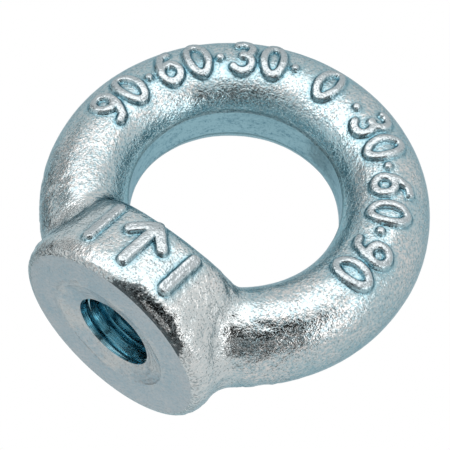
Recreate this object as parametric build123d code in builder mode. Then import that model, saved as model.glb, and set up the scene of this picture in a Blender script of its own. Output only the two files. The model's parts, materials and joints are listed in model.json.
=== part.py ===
from build123d import *
import math
import os

# Forged lifting eye nut for an M12 thread, in its own frame: it stands on its machined seat,
# the thread axis is +Z, the ring lies in the XZ plane and the eye opens along Y.

# ---- driving dimensions, millimetres -------------------------------------------------------
ring_outer_diameter = 54.0      # across the ring, outside
ring_centre_height = 26.6       # seat face to the centre of the eye
section_width = 12.7            # ring section, measured radially
section_depth = 14.6            # ring section, measured along the eye axis
eye_diameter = 29.3             # where the forging flash is trimmed off inside the ring

seat_diameter = 28.9            # flat machined seat
boss_diameter = 30.45            # widest, where the rolled rim begins
boss_taper = 7.5                # draft of the boss side, degrees
rim_height = 3.0                # seat to the widest place of the boss
rim_radius = 4.1                # rolled rim, which meets the seat at an edge
crown_radius = 22.0             # hollow of the boss top, seen along the eye axis
crown_drop = 0.15               # boss top below the trimmed band of the eye
shoulder_radius = 3.4           # rounding where the boss side rolls over into the eye
blend_radius = 3.2              # forged fillet between ring and boss

tap_drill_radius = 5.1          # bore before the M12 x 1.75 thread is cut
countersink_radius = 7.9        # where the soft countersink meets the seat
countersink_depth = 1.5
countersink_sweep = 6.0         # radius of the countersink's rounded wall

# ---- worked out ----------------------------------------------------------------------------
ring_mean_radius = (ring_outer_diameter - section_width) / 2
eye_radius = eye_diameter / 2
eye_floor = ring_centre_height - eye_radius
boss_radius = boss_diameter / 2
seat_radius = seat_diameter / 2
blank_height = ring_centre_height - ring_mean_radius + section_width
blank_top_radius = boss_radius - (blank_height - rim_height) * math.tan(math.radians(boss_taper))
crown_axis_height = eye_floor - crown_drop + crown_radius

# ---- the ring: an oval section turned about the eye axis, faced off level with the seat ------
with BuildPart() as ring:
    with BuildSketch(Plane.YZ):
        with Locations((0, ring_centre_height + ring_mean_radius)):
            Ellipse(section_depth / 2, section_width / 2)
    revolve(axis=Axis((0, 0, ring_centre_height), (0, 1, 0)))
    split(bisect_by=Plane.XY)

with BuildPart() as eye_nut:
    # the boss: a drafted round blank with a hollowed top and a rolled shoulder
    with BuildSketch(Plane.XZ):
        with BuildLine():
            Polyline((0, blank_height), (0, 0), (seat_radius, 0))
            RadiusArc((seat_radius, 0), (boss_radius, rim_height), -rim_radius)
            Polyline((boss_radius, rim_height), (blank_top_radius, blank_height), (0, blank_height))
        make_face()
    revolve(axis=Axis.Z)
    with BuildSketch(Plane.XZ):
        with Locations((0, crown_axis_height)):
            Circle(crown_radius)
    extrude(amount=boss_diameter, both=True, mode=Mode.SUBTRACT)
    fillet(eye_nut.edges().sort_by(Axis.Z)[-1], shoulder_radius)

    # ring and boss are one forging, so the corner between them is a rolled fillet
    add(ring.part)
    fillet(eye_nut.edges(Select.NEW).filter_by(lambda edge: edge.center().Z > rim_height), blend_radius)

    # the eye, trimmed of its flash by a round punch
    with BuildSketch(Plane.XZ):
        with Locations((0, ring_centre_height)):
            Circle(eye_radius)
    extrude(amount=section_depth, both=True, mode=Mode.SUBTRACT)

    # the bore for the thread, with its countersink
    with BuildSketch(Plane.XZ):
        with BuildLine():
            Polyline((tap_drill_radius, countersink_depth), (tap_drill_radius, ring_centre_height),
                     (0, ring_centre_height), (0, 0), (countersink_radius, 0))
            RadiusArc((countersink_radius, 0), (tap_drill_radius, countersink_depth), countersink_sweep)
        make_face()
    revolve(axis=Axis.Z, mode=Mode.SUBTRACT)

eye_nut.part.label = "eye_nut"
os.makedirs("parts", exist_ok=True)
export_step(eye_nut.part, "parts/eye_nut.step")
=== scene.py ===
import json
import math

import bmesh
import bpy
import numpy as np
from mathutils import Matrix, Vector, noise


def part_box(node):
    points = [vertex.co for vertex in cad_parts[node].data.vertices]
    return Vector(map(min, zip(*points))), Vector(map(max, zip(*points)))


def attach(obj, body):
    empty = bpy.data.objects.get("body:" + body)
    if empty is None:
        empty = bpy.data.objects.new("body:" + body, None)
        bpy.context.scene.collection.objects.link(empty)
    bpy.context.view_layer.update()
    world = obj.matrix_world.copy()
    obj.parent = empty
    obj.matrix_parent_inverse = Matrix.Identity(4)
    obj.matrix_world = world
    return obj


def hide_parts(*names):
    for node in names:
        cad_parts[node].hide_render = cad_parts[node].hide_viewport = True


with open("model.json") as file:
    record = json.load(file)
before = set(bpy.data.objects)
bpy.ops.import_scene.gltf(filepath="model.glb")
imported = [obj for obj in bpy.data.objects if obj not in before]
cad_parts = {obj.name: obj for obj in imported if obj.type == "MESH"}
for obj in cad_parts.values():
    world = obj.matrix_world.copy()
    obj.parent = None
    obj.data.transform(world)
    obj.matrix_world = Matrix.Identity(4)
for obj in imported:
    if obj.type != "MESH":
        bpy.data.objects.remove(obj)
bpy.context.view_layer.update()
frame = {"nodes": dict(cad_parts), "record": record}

# ---------------------------------------------------------------------------------------------
# Sizes, in metres, on the eye nut's own frame: seat at z = 0, thread axis +Z, eye open along Y
# ---------------------------------------------------------------------------------------------
MM = 0.001
mounts = {mount["name"]: mount for mount in frame["record"]["mounts"]}

EYE_RADIUS = mounts["eye"]["dims"]["r_mm"] * MM
EYE_CENTRE = mounts["eye"]["pos_m"][2]
RING_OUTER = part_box("eye_nut")[1].z - EYE_CENTRE
SECTION_WIDTH = 12.7 * MM       # ring section, measured radially
SECTION_DEPTH = 14.6 * MM       # ring section, measured along the eye axis
RING_MEAN = RING_OUTER - SECTION_WIDTH / 2

SEAT_RADIUS = 14.45 * MM
RIM_ROLL = 1.5 * MM             # radius of the roll from the boss side into the seat
RIM_SET_IN = 0.87 * MM          # centre of that roll, inside the seat's radius
SEAT_SKIM = 0.02 * MM           # left on the seat for the facing tool

DISH_RADIUS = 8.8 * MM          # turned dish round the mouth of the hole
DISH_DEPTH = 0.8 * MM
DISH_LIP = 0.08 * MM            # step down at the dish's edge
MOUTH_RADIUS = 5.8 * MM
LEAD_LENGTH = 3.2 * MM          # drilled taper from the mouth down to the thread's bore
THREAD_MAJOR = 6.0 * MM
THREAD_MINOR = mounts["thread"]["dims"]["r_mm"] * MM
THREAD_PITCH = 1.75 * MM

SKIN_CELL = 0.5 * MM            # mesh size of the forged skin before the marks are refined
MARK_HEIGHT = 0.7 * MM
MARK_STROKE = 1.2 * MM
MARK_EDGE = 0.45 * MM           # width of the slope down the side of a stroke
DIGIT_HEIGHT = 5.0 * MM
DIGIT_WIDTH = 2.8 * MM
DIGIT_GAP = 1.6 * MM
DIGIT_LIFT = 0.2 * MM           # middle of the digits, outside the middle of the ring

# Where marks may rise: the front of the ring, and the front of the boss up to its shoulder
RING_FRONT = -2.6 * MM
BOSS_FRONT = -9 * MM
BOSS_MARK_TOP = 12.5 * MM
BOSS_MARK_SPREAD = 0.22 * MM    # the boss's strokes reach this much further to each side


# ---------------------------------------------------------------------------------------------
# Small mesh helpers
# ---------------------------------------------------------------------------------------------
def new_object(name, verts, faces):
    mesh = bpy.data.meshes.new(name)
    mesh.from_pydata([tuple(v) for v in verts], [], faces)
    mesh.validate()
    piece = bpy.data.objects.new(name, mesh)
    bpy.context.scene.collection.objects.link(piece)
    return piece


def mend(piece, distance=1e-7):
    """Merges doubles and turns every face outwards."""
    bm = bmesh.new()
    bm.from_mesh(piece.data)
    bmesh.ops.remove_doubles(bm, verts=bm.verts, dist=distance)
    bmesh.ops.recalc_face_normals(bm, faces=bm.faces)
    bm.to_mesh(piece.data)
    bm.free()


def skinned(name, rows, ends):
    """A closed solid over equal rows of points, with a point in the middle of each end."""
    steps = len(rows[0])
    verts = list(ends) + [point for row in rows for point in row]
    faces = []
    for k in range(steps):
        n = (k + 1) % steps
        last = 2 + (len(rows) - 1) * steps
        faces.append((0, 2 + n, 2 + k))
        faces.append((1, last + k, last + n))
        for r in range(len(rows) - 1):
            a, b = 2 + r * steps, 2 + (r + 1) * steps
            faces.append((a + k, a + n, b + n, b + k))
    piece = new_object(name, verts, faces)
    mend(piece)
    return piece


def turned(name, profile, steps=96):
    """A solid turned about Z from (radius, height) points; the first and last lie on the axis."""
    angles = [2 * math.pi * k / steps for k in range(steps)]
    rows = [[(radius * math.cos(a), radius * math.sin(a), height) for a in angles]
            for radius, height in profile[1:-1]]
    return skinned(name, rows, [(0, 0, profile[0][1]), (0, 0, profile[-1][1])])


def apply_modifiers(piece):
    depsgraph = bpy.context.evaluated_depsgraph_get()
    mesh = bpy.data.meshes.new_from_object(piece.evaluated_get(depsgraph))
    piece.modifiers.clear()
    old = piece.data
    piece.data = mesh
    bpy.data.meshes.remove(old)


def read_vectors(mesh, name):
    """The vertices' places ("co") or directions ("normal"), one row each."""
    values = np.empty(len(mesh.vertices) * 3)
    mesh.vertices.foreach_get(name, values)
    return values.reshape(-1, 3)


# ---------------------------------------------------------------------------------------------
# Node helpers, for the Geometry Nodes trees and the finishes alike
# ---------------------------------------------------------------------------------------------
class Wiring:
    """Places nodes in one tree and wires them; a value is a plain one or another node's output."""

    def __init__(self, tree):
        self.nodes, self.links = tree.nodes, tree.links

    def feed(self, socket, value):
        if hasattr(value, "node"):
            self.links.new(value, socket)
        else:
            socket.default_value = value

    def place(self, kind, inputs=None, **settings):
        """A node with its settings and its inputs, which go by name or number."""
        node = self.nodes.new(kind)
        for name, value in settings.items():
            setattr(node, name, value)
        for key, value in (inputs or {}).items():
            self.feed(node.inputs[key], value)
        return node

    def calc(self, operation, *values):
        return self.place("ShaderNodeMath", dict(enumerate(values)), operation=operation).outputs[0]

    def plus(self, first, *others):
        for other in others:
            first = self.calc("ADD", first, other)
        return first

    def times(self, first, *others):
        for other in others:
            first = self.calc("MULTIPLY", first, other)
        return first

    def minus(self, value, taken):
        return self.calc("SUBTRACT", value, taken)

    def length(self, a, b):
        """Length of a step with these two sides."""
        return self.calc("SQRT", self.plus(self.times(a, a), self.times(b, b)))

    def split(self, vector):
        return self.place("ShaderNodeSeparateXYZ", {0: vector}).outputs

    def joined(self, x=0.0, y=0.0, z=0.0):
        return self.place("ShaderNodeCombineXYZ", {0: x, 1: y, 2: z}).outputs[0]

    def scaled(self, vector, factor):
        return self.place("ShaderNodeVectorMath", {0: vector, "Scale": factor}, operation="SCALE").outputs[0]

    def ranged(self, value, start, end, smooth=False):
        """A value as a share, 0 at start to 1 at end."""
        return self.place("ShaderNodeMapRange", {"Value": value, "From Min": start, "From Max": end},
                          interpolation_type="SMOOTHSTEP" if smooth else "LINEAR").outputs[0]

    def noise(self, scale, detail, place=None, distortion=0.0):
        inputs = {"Scale": scale, "Detail": detail, "Distortion": distortion}
        if place is not None:
            inputs["Vector"] = place
        return self.place("ShaderNodeTexNoise", inputs).outputs[0]

    def tinted(self, colour, share, tint):
        """Mixes a share of a tint into a colour."""
        mix = self.place("ShaderNodeMix", {"Factor": share}, data_type="RGBA")
        for socket, value in ((mix.inputs[6], colour), (mix.inputs[7], tint)):
            self.feed(socket, (*value, 1) if isinstance(value, tuple) else value)
        return mix.outputs[2]

    def two_tone(self, value, dark, pale, start=0.35, end=0.65):
        return self.tinted(dark, self.ranged(value, start, end), pale)


def new_tree(name, inputs):
    """An empty Geometry Nodes tree with named inputs: its tree, its wiring and what it is given."""
    tree = bpy.data.node_groups.new(name, "GeometryNodeTree")
    for kind, label, value in inputs:
        socket = tree.interface.new_socket(name=label, in_out="INPUT", socket_type=kind)
        if value is not None:
            socket.default_value = value
    tree.interface.new_socket(name="Geometry", in_out="OUTPUT", socket_type="NodeSocketGeometry")
    wiring = Wiring(tree)
    return tree, wiring, wiring.place("NodeGroupInput").outputs


def end_tree(wiring, geometry, finish):
    real = wiring.place("GeometryNodeRealizeInstances", {"Geometry": geometry})
    paint = wiring.place("GeometryNodeSetMaterial", {
        "Geometry": real.outputs["Geometry"], "Material": finish})
    wiring.place("NodeGroupOutput", {"Geometry": paint.outputs["Geometry"]})


def run_tree(piece, tree, values):
    """Runs a tree on a piece with the given inputs and leaves a plain mesh."""
    step = piece.modifiers.new(tree.name, "NODES")
    step.node_group = tree
    for item in tree.interface.items_tree:
        if item.in_out == "INPUT" and item.name in values:
            step[item.identifier] = values[item.name]
    apply_modifiers(piece)


# ---------------------------------------------------------------------------------------------
# The forging as it leaves the dies, with stock left where tools will cut
# ---------------------------------------------------------------------------------------------
def ring_blank():
    """The whole ring before its flash is trimmed; it is faced off with the seat."""
    turns, sides = 160, 56
    verts, faces = [], []
    for i in range(turns):
        a = 2 * math.pi * i / turns
        for j in range(sides):
            b = 2 * math.pi * j / sides
            r = RING_MEAN + SECTION_WIDTH / 2 * math.cos(b)
            verts.append((r * math.sin(a), SECTION_DEPTH / 2 * math.sin(b), EYE_CENTRE + r * math.cos(a)))
            n, m = (i + 1) % turns, (j + 1) % sides
            faces.append((i * sides + j, n * sides + j, n * sides + m, i * sides + m))
    piece = new_object("ring_blank", verts, faces)
    mend(piece)
    return piece


def boss_stock():
    """Metal that fills the bore and stands below the seat until it is machined."""
    below, top = -0.8 * MM, 11.6 * MM
    plug = THREAD_MINOR + 0.3 * MM
    return turned("boss_stock", [
        (0, below), (SEAT_RADIUS - 0.45 * MM, below), (SEAT_RADIUS + 0.35 * MM, 0.5 * MM),
        (DISH_RADIUS + 0.4 * MM, 2.2 * MM), (plug, 2.6 * MM), (plug, top), (0, top)])


def forged_blank(node):
    """One soft skin over the nut, its ring blank and its stock."""
    blank = bpy.data.objects.new("forging", node.data.copy())
    bpy.context.scene.collection.objects.link(blank)
    mend(blank, 1e-6)
    bm = bmesh.new()
    bm.from_mesh(blank.data)
    for part in (ring_blank(), boss_stock()):
        bm.from_mesh(part.data)
        bpy.data.objects.remove(part)
    bm.to_mesh(blank.data)
    bm.free()
    remesh = blank.modifiers.new("skin", "REMESH")
    remesh.mode = "VOXEL"
    remesh.voxel_size = SKIN_CELL
    smooth = blank.modifiers.new("rolled", "SMOOTH")
    smooth.factor = 0.5
    smooth.iterations = 5
    apply_modifiers(blank)
    return blank


# ---------------------------------------------------------------------------------------------
# Raised marks: an angle scale round the ring and a load arrow on the boss
# ---------------------------------------------------------------------------------------------
def arc(cx, cy, rx, ry, start, end, steps=14):
    """Points along an ellipse, in units of a digit's width and height."""
    angles = [math.radians(start + (end - start) * k / steps) for k in range(steps + 1)]
    return [(cx + rx * math.cos(a), cy + ry * math.sin(a)) for a in angles]


DIGITS = {
    "0": [arc(0, 0, 0.5, 0.5, 0, 360, 28)],
    "3": [arc(-0.02, 0.24, 0.46, 0.26, 132, -90), arc(-0.02, -0.24, 0.5, 0.26, 90, -138)],
    "6": [arc(0, -0.22, 0.48, 0.28, 0, 360, 24),
          [(-0.48, -0.22), (-0.42, 0.1), (-0.16, 0.42), (0.2, 0.5)]],
    "9": [arc(0, 0.22, 0.48, 0.28, 0, 360, 24),
          [(0.48, 0.22), (0.42, -0.1), (0.16, -0.42), (-0.2, -0.5)]],
}
SCALE_DEGREES = range(-90, 91, 30)
DOT_DEGREES = range(-75, 76, 30)


def ring_directions(degrees):
    """Outwards and clockwise round the ring at this angle from its top, as (x, z)."""
    a = math.radians(degrees)
    return np.array([math.sin(a), math.cos(a)]), np.array([math.cos(a), -math.sin(a)])


def ring_strokes():
    """Strokes of the angle scale, as segments in the ring's plane (x, z)."""
    eye, segments = np.array([0.0, EYE_CENTRE]), []
    for degrees in SCALE_DEGREES:
        out, along = ring_directions(degrees)
        middle = eye + out * (RING_MEAN + DIGIT_LIFT)
        word = str(abs(degrees))
        for k, digit in enumerate(word):
            offset = (k - (len(word) - 1) / 2) * (DIGIT_WIDTH + DIGIT_GAP)
            for line in DIGITS[digit]:
                points = [middle + along * (offset + u * DIGIT_WIDTH) + out * (v * DIGIT_HEIGHT)
                          for u, v in line]
                segments += list(zip(points[:-1], points[1:]))
    dot_length = np.array([0.001 * MM, 0])
    for degrees in DOT_DEGREES:
        spot = eye + ring_directions(degrees)[0] * RING_MEAN
        segments.append((spot, spot + dot_length))
    return segments


def boss_strokes():
    """A plain arrow along the thread axis between two bars, as segments in (x, z)."""
    foot, head, barb = 3.0 * MM, 10.0 * MM, 2.6 * MM
    bar, bar_foot, bar_head = 6.2 * MM, 3.6 * MM, 9.6 * MM
    lines = [((0, foot), (0, head))]
    for side in (-1, 1):
        lines.append(((side * barb, head - barb), (0, head)))
        lines.append(((side * bar, bar_foot), (side * bar, bar_head)))
    return [(np.array(a), np.array(b)) for a, b in lines]


RING_STROKES = ring_strokes()
BOSS_STROKES = boss_strokes()


def distance_to(segments, points):
    """Least distance from each (x, z) point to any of the segments."""
    best = np.full(len(points), 1.0)
    for a, b in segments:
        ab = b - a
        t = np.clip(((points - a) @ ab) / max(ab @ ab, 1e-18), 0, 1)
        np.minimum(best, np.hypot(*(points - a - t[:, None] * ab).T), out=best)
    return best


def mark_distance(co):
    """Distance from each point of the front face to the middle of the nearest stroke."""
    flat = co[:, [0, 2]]
    best = np.full(len(co), 1.0)
    boss = (co[:, 1] < BOSS_FRONT) & (co[:, 2] < BOSS_MARK_TOP)
    ring = (co[:, 1] < RING_FRONT) & (np.hypot(co[:, 0], co[:, 2] - EYE_CENTRE) > EYE_RADIUS) & ~boss
    best[ring] = distance_to(RING_STROKES, flat[ring])
    best[boss] = distance_to(BOSS_STROKES, flat[boss]) - BOSS_MARK_SPREAD
    return best


def refine_marks(piece, reach):
    """Halves the skin's edges near the strokes."""
    bm = bmesh.new()
    bm.from_mesh(piece.data)
    near = mark_distance(np.array([v.co for v in bm.verts])) < reach
    edges = [e for e in bm.edges if near[e.verts[0].index] and near[e.verts[1].index]]
    bmesh.ops.subdivide_edges(bm, edges=edges, cuts=1, use_grid_fill=True, smooth=0.0)
    bmesh.ops.triangulate(bm, faces=[f for f in bm.faces if len(f.verts) > 4])
    bm.to_mesh(piece.data)
    bm.free()


def stroke_wires(name, segments):
    """The strokes as loose edges in the ring's plane, for the skin to measure from."""
    verts = [(point[0], 0, point[1]) for segment in segments for point in segment]
    edges = [(k, k + 1) for k in range(0, len(verts), 2)]
    mesh = bpy.data.meshes.new(name)
    mesh.from_pydata(verts, edges, [])
    wires = bpy.data.objects.new(name, mesh)
    bpy.context.scene.collection.objects.link(wires)
    return wires


def forging_tree():
    """Raises the marks out of the skin and gives the skin its soft unevenness."""
    tree, w, given = new_tree("forging_skin", [
        ("NodeSocketGeometry", "Geometry", None),
        ("NodeSocketObject", "Ring Marks", None), ("NodeSocketObject", "Boss Marks", None),
        ("NodeSocketFloat", "Mark Height", MARK_HEIGHT),
        ("NodeSocketFloat", "Stroke Width", MARK_STROKE), ("NodeSocketFloat", "Stroke Slope", MARK_EDGE),
        ("NodeSocketFloat", "Boss Extra Width", 0.45 * MM),
        ("NodeSocketFloat", "Stroke Wander", 0.22 * MM),
        ("NodeSocketFloat", "Broad Waves", 0.11 * MM), ("NodeSocketFloat", "Fine Waves", 0.05 * MM),
        ("NodeSocketFloat", "Wrinkles", 0.45 * MM),
        ("NodeSocketMaterial", "Finish", None)])

    x, y, z = w.split(w.place("GeometryNodeInputPosition").outputs[0])
    flat = w.joined(x=x, z=z)
    on_boss = w.times(w.calc("LESS_THAN", y, BOSS_FRONT), w.calc("LESS_THAN", z, BOSS_MARK_TOP))
    from_eye = w.length(x, w.minus(z, EYE_CENTRE))
    on_ring = w.times(w.calc("LESS_THAN", y, RING_FRONT), w.calc("GREATER_THAN", from_eye, EYE_RADIUS),
                      w.minus(1.0, on_boss))

    wobble = w.times(w.minus(w.noise(640.0, 1.0), 0.5), given["Stroke Wander"])
    half, slope = w.times(given["Stroke Width"], 0.5), w.times(given["Stroke Slope"], 0.5)
    relief = []
    for label, region, extra in (("Ring Marks", on_ring, 0.0),
                                 ("Boss Marks", on_boss, given["Boss Extra Width"])):
        wires = w.place("GeometryNodeObjectInfo", {"Object": given[label]})
        near = w.place("GeometryNodeProximity", {
            "Geometry": wires.outputs["Geometry"], "Sample Position": flat}, target_element="EDGES")
        gap = w.minus(w.plus(near.outputs["Distance"], wobble), w.times(extra, 0.5))
        body = w.ranged(gap, w.plus(half, slope), w.minus(half, slope), True)
        share = w.calc("DIVIDE", gap, half)
        crown = w.calc("MAXIMUM", w.minus(1.0, w.times(share, share)), 0.0)
        relief.append(w.times(w.plus(w.times(body, 0.82), w.times(crown, 0.18)), region))
    height = w.times(w.plus(*relief), w.minus(given["Mark Height"], w.times(wobble, 0.4)))

    # the marks rise towards the die that made them, halfway between the skin's normal and -Y
    normal = w.place("GeometryNodeInputNormal").outputs[0]
    lean = w.place("ShaderNodeVectorMath", {0: normal, 1: (0.4, 0.4, 0.4), 2: (0, -0.6, 0)},
                   operation="MULTIPLY_ADD").outputs[0]

    broad, fine = [w.times(w.minus(w.noise(scale, 1.0), 0.5), given[label])
                   for label, scale in (("Broad Waves", 150.0), ("Fine Waves", 620.0))]
    fold = w.calc("ABSOLUTE", w.minus(w.noise(260.0, 2.0, distortion=1.2), 0.5))
    low_down = w.ranged(z, 15 * MM, 11 * MM, True)
    beside = w.ranged(w.calc("ABSOLUTE", x), 5 * MM, 9 * MM, True)
    folds = w.times(w.times(low_down, beside), w.times(fold, -2.0), given["Wrinkles"])
    waves = w.plus(broad, fine, folds)

    offset = w.place("ShaderNodeVectorMath", {
        0: w.scaled(lean, height), 1: w.scaled(normal, waves)}, operation="ADD").outputs[0]
    skin = w.place("GeometryNodeSetPosition", {"Geometry": given["Geometry"], "Offset": offset})
    end_tree(w, skin.outputs["Geometry"], given["Finish"])
    return tree


def forge_skin(piece):
    ring, boss = stroke_wires("ring_marks", RING_STROKES), stroke_wires("boss_marks", BOSS_STROKES)
    run_tree(piece, forging_tree(), {"Ring Marks": ring, "Boss Marks": boss, "Finish": FORGED})
    bpy.data.objects.remove(ring)
    bpy.data.objects.remove(boss)


# ---------------------------------------------------------------------------------------------
# The tools that finish it
# ---------------------------------------------------------------------------------------------
CLEAR_RADIUS, CLEAR_DEPTH = 20 * MM, -5 * MM        # turning tools reach past the boss and below it


def rim_tool():
    """Leaves a small roll where the side of the boss turns into the seat."""
    centre = SEAT_RADIUS - RIM_SET_IN
    roll = []
    for k in range(12):
        a = math.radians(68 - 6.2 * k)
        roll.append((centre + RIM_ROLL * math.sin(a), RIM_ROLL * (1 - math.cos(a)) - SEAT_SKIM))
    return turned("rim_tool", [(0, CLEAR_DEPTH), (CLEAR_RADIUS, CLEAR_DEPTH), (CLEAR_RADIUS, roll[0][1]),
                               *roll, (0, -SEAT_SKIM)], steps=180)


def facing_tool():
    """Faces the seat at z = 0 and turns a shallow dish, with its tool marks, at the mouth of the hole."""
    profile = [(0, CLEAR_DEPTH), (CLEAR_RADIUS, CLEAR_DEPTH), (CLEAR_RADIUS, 0.0),
               (SEAT_RADIUS - 1.0 * MM, 0.0), (DISH_RADIUS + 1.6 * MM, 0.0)]
    for k, mark in enumerate((0.0, 0.02, 0.0, 0.015, 0.0, 0.03)):
        profile.append((DISH_RADIUS + (1.2 - 0.25 * k) * MM, mark * MM))
    edge = DISH_RADIUS - 0.1 * MM
    for k in range(11):
        t = k / 10
        mark = 0.035 * MM if k in (3, 6) else 0.0
        profile.append((edge + (MOUTH_RADIUS - edge) * t, DISH_LIP + mark + (DISH_DEPTH - DISH_LIP) * t))
    return turned("facing_tool", profile + [(0, DISH_DEPTH)], steps=180)


def trimming_punch():
    """The punch that shears the flash: a burnished front, then a slightly smaller break."""
    reach, steps, wander = 6.5 * MM, 240, 0.35 * MM
    rows = []
    sections = [(-reach, 0.0, 0), (1.0 * MM, 0.0, 1), (1.1 * MM, 0.03 * MM, 1), (reach, 0.10 * MM, 0)]
    for y, smaller, uneven in sections:
        row = []
        for k in range(steps):
            a = 2 * math.pi * k / steps
            shift = uneven * wander * noise.noise(Vector((3.5 * math.cos(a), 3.5 * math.sin(a), 4.2)))
            r = EYE_RADIUS - smaller
            row.append((r * math.cos(a), y + shift, EYE_CENTRE + r * math.sin(a)))
        rows.append(row)
    return skinned("trimming_punch", rows, [(0, -reach, EYE_CENTRE), (0, reach, EYE_CENTRE)])


def drill():
    wide, foot, top = MOUTH_RADIUS - 0.02 * MM, 0.3 * MM, 16 * MM
    return turned("drill", [
        (0, foot), (wide, foot), (wide, DISH_DEPTH), (THREAD_MINOR, DISH_DEPTH + LEAD_LENGTH),
        (THREAD_MINOR, top), (0, top)], steps=144)


def thread_tree():
    """One start of a right-hand ISO thread: the tap's tooth swept along its helix."""
    tree, w, given = new_tree("thread_tooth", [
        ("NodeSocketFloat", "Major Radius", THREAD_MAJOR), ("NodeSocketFloat", "Minor Radius", THREAD_MINOR),
        ("NodeSocketFloat", "Pitch", THREAD_PITCH), ("NodeSocketFloat", "Turns", 10.0),
        ("NodeSocketFloat", "Start Height", -2.4 * MM), ("NodeSocketInt", "Steps per Turn", 72),
        ("NodeSocketMaterial", "Finish", None)])
    helix = w.place("GeometryNodeCurveSpiral", {
        "Resolution": given["Steps per Turn"], "Rotations": given["Turns"], "Reverse": True,
        "Start Radius": given["Minor Radius"], "End Radius": given["Minor Radius"],
        "Height": w.times(given["Pitch"], given["Turns"])})
    upright = w.place("GeometryNodeSetCurveNormal", {"Curve": helix.outputs["Curve"]}, mode="Z_UP")

    # corners of the tooth, as depth into the wall and share of the pitch; its foot stands in the bore
    depth, foot = w.minus(given["Major Radius"], given["Minor Radius"]), -0.3 * MM
    corners = [(foot, -0.375), (foot, 0.375), (depth, 0.0625), (depth, -0.0625)]
    tooth = w.place("GeometryNodeCurvePrimitiveQuadrilateral", mode="POINTS")
    for k, (out, share) in enumerate(corners):
        w.feed(tooth.inputs[f"Point {k + 1}"], w.joined(x=out, y=w.times(given["Pitch"], share)))
    sweep = w.place("GeometryNodeCurveToMesh", {
        "Curve": upright.outputs["Curve"], "Profile Curve": tooth.outputs["Curve"], "Fill Caps": True})
    lift = w.joined(z=given["Start Height"])
    raised = w.place("GeometryNodeSetPosition", {"Geometry": sweep.outputs["Mesh"], "Offset": lift})
    end_tree(w, raised.outputs["Geometry"], given["Finish"])
    return tree


def tap():
    """The tooth of the tap, ready to cut a drilled hole."""
    piece = new_object("tap", [], [])
    run_tree(piece, thread_tree(), {"Finish": THREADED})
    mend(piece)
    return piece


def cut(piece, tool, finish):
    """Cuts with a tool, and gives the new faces their finish."""
    tool.data.materials.clear()
    tool.data.materials.append(finish)
    step = piece.modifiers.new("cut", "BOOLEAN")
    step.operation = "DIFFERENCE"
    step.object = tool
    step.solver = "EXACT"
    step.material_mode = "TRANSFER"
    apply_modifiers(piece)
    bpy.data.objects.remove(tool)


# ---------------------------------------------------------------------------------------------
# Effects that several finishes share
# ---------------------------------------------------------------------------------------------
def shader_group(name, inputs):
    """An empty shader group with named inputs: its tree, its wiring and what it is given."""
    group = bpy.data.node_groups.new(name, "ShaderNodeTree")
    for kind, label, value in inputs:
        group.interface.new_socket(name=label, in_out="INPUT", socket_type=kind).default_value = value
    wiring = Wiring(group)
    return group, wiring, wiring.place("NodeGroupInput").outputs


def end_group(group, wiring, results):
    for label in results:
        group.interface.new_socket(name=label, in_out="OUTPUT", socket_type="NodeSocketFloat")
    wiring.place("NodeGroupOutput", results)


def blast_grain():
    """A shot-blasted and pickled skin under its plating: its height, and where its pits lie."""
    group, w, given = shader_group("blast_grain", [
        ("NodeSocketVector", "Place", (0, 0, 0)), ("NodeSocketFloat", "Grain", 4100.0),
        ("NodeSocketFloat", "Patch", 1300.0)])
    place, grain = given["Place"], given["Grain"]
    pits = w.ranged(w.noise(w.times(grain, 0.93), 1.0, place), 0.56, 0.70, True)
    height = w.plus(w.noise(w.times(grain, 1.0), 1.0, place),
                    w.times(w.noise(w.times(grain, 0.55), 0.0, place), 0.7),
                    w.times(w.noise(w.times(given["Patch"], 1.0), 0.0, place), 0.6))
    end_group(group, w, {"Height": w.minus(height, w.times(pits, 0.45)), "Pits": pits})
    return group


def about_bore():
    """Radius, angle and height of a surface turned about the thread axis."""
    group, w, given = shader_group("about_bore", [("NodeSocketVector", "Place", (0, 0, 0))])
    x, y, z = w.split(given["Place"])
    end_group(group, w, {"Radius": w.length(x, y), "Angle": w.calc("ARCTAN2", y, x), "Along": z})
    return group


def tool_streaks():
    """Marks that a tool draws out: noise with its own scale in each of two directions."""
    group, w, given = shader_group("tool_streaks", [
        ("NodeSocketFloat", "Across", 0.0), ("NodeSocketFloat", "Across Scale", 1.0),
        ("NodeSocketFloat", "Along", 0.0), ("NodeSocketFloat", "Along Scale", 1.0),
        ("NodeSocketFloat", "Detail", 2.0)])
    drawn = w.joined(x=w.times(given["Across"], given["Across Scale"]),
                     y=w.times(given["Along"], given["Along Scale"]))
    end_group(group, w, {"Streaks": w.noise(1.0, given["Detail"], drawn)})
    return group


BLAST_GRAIN, ABOUT_BORE, TOOL_STREAKS = blast_grain(), about_bore(), tool_streaks()


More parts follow.
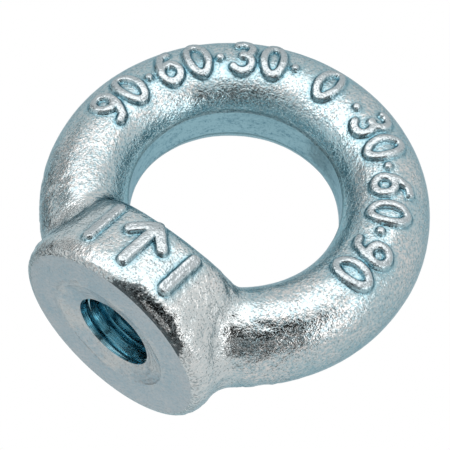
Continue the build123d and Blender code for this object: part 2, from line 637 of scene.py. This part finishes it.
class Finish(Wiring):
    """One finish of the zinc plating: a metallic shader to wire on the piece's own coordinates."""

    def __init__(self, name, roughness, edge_tint=None):
        self.material = bpy.data.materials.new(name)
        self.material.use_nodes = True
        super().__init__(self.material.node_tree)
        self.shader = self.nodes["Principled BSDF"].inputs
        self.shader["Metallic"].default_value = 1.0
        self.shader["Roughness"].default_value = roughness
        if edge_tint is not None:
            self.shader["Specular Tint"].default_value = (*edge_tint, 1)
        self.spot = self.place("ShaderNodeTexCoord").outputs["Object"]

    def effect(self, group, inputs):
        return self.place("ShaderNodeGroup", inputs, node_tree=group).outputs

    def grain(self):
        return self.effect(BLAST_GRAIN, {"Place": self.spot})

    def about_bore(self):
        return self.effect(ABOUT_BORE, {"Place": self.spot})

    def streaks(self, across, across_scale, along, along_scale, detail=2.0):
        return self.effect(TOOL_STREAKS, {"Across": across, "Across Scale": across_scale, "Along": along,
                                          "Along Scale": along_scale, "Detail": detail})["Streaks"]

    def stored(self, name):
        return self.place("ShaderNodeAttribute", attribute_name=name).outputs["Fac"]

    def coloured(self, colour, layers=()):
        """Base colour, with (where, share, tint) layers over it in turn."""
        for where, share, tint in layers:
            colour = self.tinted(colour, self.times(where, share), tint)
        self.feed(self.shader["Base Color"], colour)

    def bumped(self, height, distance):
        bump = self.place("ShaderNodeBump", {"Height": height, "Distance": distance})
        self.feed(self.shader["Normal"], bump.outputs["Normal"])


# ---------------------------------------------------------------------------------------------
# Finishes
# ---------------------------------------------------------------------------------------------
def mill_scale(f):
    """A painted dark reflection on the front of the boss rim, speckled where it thins out, with a paler slot
    across it.
    """
    radius, angle, height = f.about_bore()
    along = f.times(f.ranged(angle, -1.75, -1.25, True), f.ranged(angle, -0.30, -1.00, True),
                    f.ranged(radius, 11.5 * MM, 12.5 * MM))
    cover = f.ranged(f.minus(f.times(along, 2.5 * MM), height), 0.0, 1.2 * MM)
    off_middle = f.calc("ABSOLUTE", f.minus(height, 0.55 * MM))
    slot = f.times(f.ranged(angle, -1.26, -1.16), f.ranged(angle, -0.82, -0.92),
                   f.ranged(off_middle, 0.34 * MM, 0.14 * MM))
    cover = f.minus(f.times(cover, 0.42), f.times(slot, 0.36))
    specks = f.plus(f.times(f.noise(2600.0, 2.0, f.spot), 0.7), f.times(f.noise(800.0, 1.0, f.spot), 0.3))
    return f.ranged(f.plus(cover, specks), 0.68, 0.84)


def forged_zinc():
    f = Finish("forged_zinc", 0.17, (0.45, 0.60, 0.66))
    grain_height, pits = f.grain()
    uneven = f.ranged(f.noise(330.0, 2.0, f.spot), 0.35, 0.65)
    f.bumped(f.times(grain_height, f.plus(0.55, f.times(uneven, 0.7))), 0.062 * MM)

    # painted dark reflection: dark specks low on the boss side, just above the seat
    rim_height = f.ranged(f.split(f.spot)[2], 1.0 * MM, 0.35 * MM, True)
    rim_specks = f.times(rim_height, f.ranged(f.noise(2300.0, 3.0, f.spot), 0.50, 0.56))
    f.coloured(
        f.two_tone(f.noise(2500.0, 3.0, f.spot), (0.325, 0.43, 0.465), (0.59, 0.585, 0.57), 0.36, 0.64),
        [(f.ranged(f.noise(140.0, 3.0, f.spot), 0.42, 0.62), 0.38, (0.25, 0.41, 0.46)),
         (f.stored("eye_edge"), 0.62, (0.27, 0.50, 0.57)),
         # painted light: lightens the lower sides of the boss
         (f.stored("rubbed"), 0.65, (0.62, 0.63, 0.62)),
         (f.stored("near_marks"), 0.55, (0.26, 0.45, 0.51)),
         # teal plating tint in the hollows, with painted shade darkening them
         (f.stored("hollow"), 0.85, (0.07, 0.20, 0.255)),
         (f.stored("worn"), 0.65, (0.44, 0.44, 0.445)),
         # painted dark reflection: specks along the boss rim
         (rim_specks, 0.4, (0.10, 0.12, 0.13)),
         # painted dark reflection: a dark band on the front of the boss rim
         (mill_scale(f), 0.92, (0.04, 0.05, 0.055)),
         (f.ranged(f.stored("eye_edge"), 0.90, 0.96), 0.65, (0.09, 0.15, 0.17)),
         (pits, 0.45, (0.12, 0.17, 0.18))])
    return f.material


def faced_zinc():
    """The seat is ground in one direction; the lathe's rings show only round the dish."""
    f = Finish("faced_zinc", 0.36, (0.6, 0.7, 0.75))
    grain_height, pits = f.grain()
    radius, angle, _ = f.about_bore()
    x, y, _ = f.split(f.spot)
    ground = f.streaks(f.minus(x, y), 420.0, f.plus(x, y), 2400.0, 3.0)
    turning = f.streaks(radius, 1700.0, angle, 1.1)
    patchy = f.noise(230.0, 2.0, f.spot)
    mottle = f.noise(2100.0, 3.0, f.spot)
    near_dish = f.ranged(radius, DISH_RADIUS + 1.3 * MM, DISH_RADIUS, True)
    near_rim = f.ranged(radius, SEAT_RADIUS - 2.6 * MM, SEAT_RADIUS - 0.6 * MM, True)
    rings = f.times(turning, near_dish, f.ranged(patchy, 0.42, 0.55))

    rough = f.times(grain_height, f.plus(0.35, f.times(f.plus(near_rim, rings), 1.1)))
    f.bumped(f.plus(f.times(ground, 0.7), mottle, f.times(rings, 4.0), rough), 0.03 * MM)
    shade = f.plus(f.times(mottle, 0.9), f.times(ground, 0.6), f.times(patchy, 0.6))
    f.coloured(
        f.two_tone(shade, (0.30, 0.40, 0.445), (0.47, 0.495, 0.505), 0.78, 1.32),
        [(rings, 0.8, (0.56, 0.56, 0.53)),
         (near_rim, 0.25, (0.50, 0.51, 0.51)),
         (pits, 0.4, (0.22, 0.21, 0.20))])
    return f.material


def trimmed_zinc():
    """The sheared face inside the eye, drawn out along the punch's way and round it."""
    f = Finish("trimmed_zinc", 0.28, (0.6, 0.7, 0.75))
    x, along, z = f.split(f.spot)
    angle = f.calc("ARCTAN2", f.minus(z, EYE_CENTRE), x)
    shear, drawn = f.streaks(along, 5200.0, angle, 14.0), f.streaks(along, 900.0, angle, 5.0)
    marks = f.plus(f.times(shear, 0.5), f.times(f.grain()["Height"], 0.5), f.times(drawn, 0.7))
    f.coloured(f.two_tone(marks, (0.08, 0.19, 0.25), (0.25, 0.42, 0.48), 0.72, 1.18))
    f.bumped(marks, 0.05 * MM)
    return f.material


def threaded_zinc():
    f = Finish("threaded_zinc", 0.15)
    _, angle, along = f.about_bore()
    drag = f.streaks(along, 7000.0, angle, 1.1, 1.0)
    f.coloured(f.two_tone(drag, (0.15, 0.36, 0.44), (0.40, 0.60, 0.66)))
    f.bumped(drag, 0.008 * MM)
    return f.material


FORGED, FACED, TRIMMED, THREADED = forged_zinc(), faced_zinc(), trimmed_zinc(), threaded_zinc()


# ---------------------------------------------------------------------------------------------
# Build the nut
# ---------------------------------------------------------------------------------------------
def hollowness(mesh, co):
    """How strongly the skin turns inwards at each point, from 0 to 1."""
    no = read_vectors(mesh, "normal")
    ends = np.empty(len(mesh.edges) * 2, dtype=np.int64)
    mesh.edges.foreach_get("vertices", ends)
    a, b = ends.reshape(-1, 2).T
    way = co[b] - co[a]
    square = np.maximum((way ** 2).sum(1), (0.05 * MM) ** 2)
    count = np.maximum(np.bincount(a, minlength=len(co)) + np.bincount(b, minlength=len(co)), 1)
    bend = np.zeros(len(co))
    for i, sign in ((a, 1), (b, -1)):
        bend += np.bincount(i, sign * (way * no[i]).sum(1) / square, minlength=len(co))
    bend /= count
    for _ in range(9):
        around = np.bincount(a, bend[b], minlength=len(co)) + np.bincount(b, bend[a], minlength=len(co))
        bend = 0.5 * bend + 0.5 * around / count
    return np.clip(bend * 1.6 * MM, 0, 1)


def store_wear(piece):
    """Stores where the plating is thickest (with painted shade in the hollows), where painted light
    brightens the lower boss sides, and where the marks are worn, as shares from 0 to 1.
    """
    co = read_vectors(piece.data, "co")
    x, y, z = co.T

    def fading(distance, width):
        """1 where a distance is a width or more inside its limit, 0 at the limit."""
        return np.clip(distance / width, 0, 1)

    # painted light: the lower boss is lightened, most on its left and right sides
    beside = 0.35 + 0.65 * fading(np.abs(x) - 4 * MM, 4 * MM)
    rubbed = fading(13 * MM - z, 4 * MM) * beside * fading(17 * MM - np.hypot(x, y), 1.5 * MM)
    gap = mark_distance(co)
    shares = {
        # concave places, for a teal plating tint with painted shade
        "hollow": hollowness(piece.data, co),
        "worn": fading(MARK_STROKE / 2 + 0.05 * MM - gap, 0.3 * MM),
        "rubbed": rubbed,
        "near_marks": np.clip(1.6 - gap / (1.1 * MM), 0, 1),
        "eye_edge": np.clip(1 - (np.hypot(x, z - EYE_CENTRE) - EYE_RADIUS) / (2.6 * MM), 0, 1),
    }
    for name, share in shares.items():
        attribute = piece.data.attributes.new(name, "FLOAT", "POINT")
        attribute.data.foreach_set("value", share.astype(np.float32))


def make_nut():
    nut = forged_blank(frame["nodes"]["eye_nut"])
    nut.name = "forged_eye_nut"
    refine_marks(nut, 1.6 * MM)
    refine_marks(nut, 1.2 * MM)
    forge_skin(nut)
    for tool, finish in ((rim_tool, FORGED), (facing_tool, FACED), (trimming_punch, TRIMMED),
                         (drill, THREADED), (tap, THREADED)):
        cut(nut, tool(), finish)
    for polygon in nut.data.polygons:
        polygon.use_smooth = True
    nut.data.set_sharp_from_angle(angle=math.radians(38))
    store_wear(nut)
    return nut


nut = make_nut()
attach(nut, "root")
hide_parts("eye_nut")

# ---------------------------------------------------------------------------------------------
# Camera, floor and light
# ---------------------------------------------------------------------------------------------
AIM = Vector((0.3, 1.2, 24.1)) * MM
AZIMUTH, ELEVATION, ROLL = 20.78, -26.97, 44.27
CAMERA_DISTANCE = 234.6 * MM
LENS = 135.8
LAMP_COLOUR = (1.0, 0.94, 0.925)


def add_camera():
    """Looks at the aim; azimuth 0 looks along +Y."""
    data = bpy.data.cameras.new("camera")
    data.lens = LENS
    data.clip_start = 0.01
    data.clip_end = 10
    made = bpy.data.objects.new("camera", data)
    bpy.context.scene.collection.objects.link(made)
    a, e = math.radians(AZIMUTH), math.radians(ELEVATION)
    back = Vector((math.sin(a) * math.cos(e), -math.cos(a) * math.cos(e), math.sin(e)))
    turn = back.to_track_quat("Z", "Y").to_matrix() @ Matrix.Rotation(math.radians(ROLL), 3, "Z")
    made.matrix_world = Matrix.Translation(AIM + back * CAMERA_DISTANCE) @ turn.to_4x4()
    bpy.context.scene.camera = made
    return made


camera = add_camera()


def set_world():
    world = bpy.data.worlds.new("tent")
    bpy.context.scene.world = world
    world.use_nodes = True
    tent = world.node_tree.nodes["Background"].inputs
    tent["Color"].default_value = (1, 1, 1, 1)
    tent["Strength"].default_value = 1.0


def add_floor():
    """A pale floor seen from above only, so it never hides or darkens the seat; it fades out to white."""
    size, below = 1.2, -0.02 * MM
    floor = new_object("floor", [(-size, -size, below), (size, -size, below), (size, size, below),
                                 (-size, size, below)], [(0, 1, 2, 3)])
    material = bpy.data.materials.new("pale_floor")
    material.use_nodes = True
    w = Wiring(material.node_tree)
    w.nodes.remove(w.nodes["Principled BSDF"])
    pale = w.place("ShaderNodeBsdfDiffuse", {"Color": (0.84, 0.84, 0.84, 1)})
    clear = w.place("ShaderNodeBsdfTransparent")
    above = w.minus(1.0, w.place("ShaderNodeNewGeometry").outputs["Backfacing"])
    seen = w.place("ShaderNodeLightPath").outputs["Is Camera Ray"]
    x, y, _ = w.split(w.place("ShaderNodeTexCoord").outputs["Object"])
    shown = w.times(above, seen, w.ranged(w.length(x, y), 0.15, 0.045, True))
    mix = w.place("ShaderNodeMixShader", {"Fac": shown, 1: clear.outputs["BSDF"], 2: pale.outputs["BSDF"]})
    w.feed(w.nodes["Material Output"].inputs["Surface"], mix.outputs["Shader"])
    floor.data.materials.append(material)


def beside_camera(right, up, distance):
    """The frame of a flat thing that faces the nut, at these angles right of and above the camera."""
    view = camera.matrix_world.to_3x3()
    r, u = math.radians(right), math.radians(up)
    z = view @ Vector((math.sin(r) * math.cos(u), math.sin(u), math.cos(r) * math.cos(u)))
    x = view @ Vector((math.cos(r), 0, -math.sin(r)))
    y = z.cross(x)
    turn = Matrix((x, y, z)).transposed().to_4x4()
    return Matrix.Translation(AIM + z * distance) @ turn


def softbox(name, right, up, distance, width, height, level):
    """An area lamp that faces the nut; level 1 is as bright as the white tent."""
    data = bpy.data.lights.new(name, "AREA")
    data.shape = "RECTANGLE"
    data.size, data.size_y = width, height
    data.energy = level * math.pi * width * height
    data.color = LAMP_COLOUR
    lamp = bpy.data.objects.new(name, data)
    bpy.context.scene.collection.objects.link(lamp)
    lamp.matrix_world = beside_camera(right, up, distance)
    lamp.visible_camera = False


def card(name, right, up, distance, width, height, shade):
    """A dull card beside the camera, seen only in the metal."""
    w, h = width / 2, height / 2
    piece = new_object(name, [(-w, -h, 0), (w, -h, 0), (w, h, 0), (-w, h, 0)], [(0, 1, 2, 3)])
    piece.data.transform(beside_camera(right, up, distance))
    material = bpy.data.materials.new(name)
    material.use_nodes = True
    shader = material.node_tree.nodes["Principled BSDF"].inputs
    shader["Base Color"].default_value = (shade, shade, shade, 1)
    shader["Roughness"].default_value = 1.0
    shader["Specular IOR Level"].default_value = 0.0
    piece.data.materials.append(material)
    piece.visible_camera = False


set_world()
add_floor()

# name, then degrees right and up, distance, width and height, and shade or level
card("card_near", 12, -10, 0.081, 0.088, 0.025, 0.004)
card("card_lower", 4, -42, 0.174, 0.25, 0.032, 0.004)
card("card_below", -8, -36, 0.36, 0.62, 0.34, 0.42)
card("card_left", -122, 0, 0.35, 0.09, 0.40, 0.02)
card("card_high_left", -88, 42, 0.35, 0.26, 0.17, 0.5)
softbox("top_softbox", -3, 45, 0.155, 0.29, 0.145, 1.42)
softbox("left_softbox", -50, 22, 0.40, 0.18, 0.17, 1.5)
softbox("right_softbox", 50, -12, 0.38, 0.13, 0.34, 1.75)
bpy.context.scene.view_settings.view_transform = "Standard"
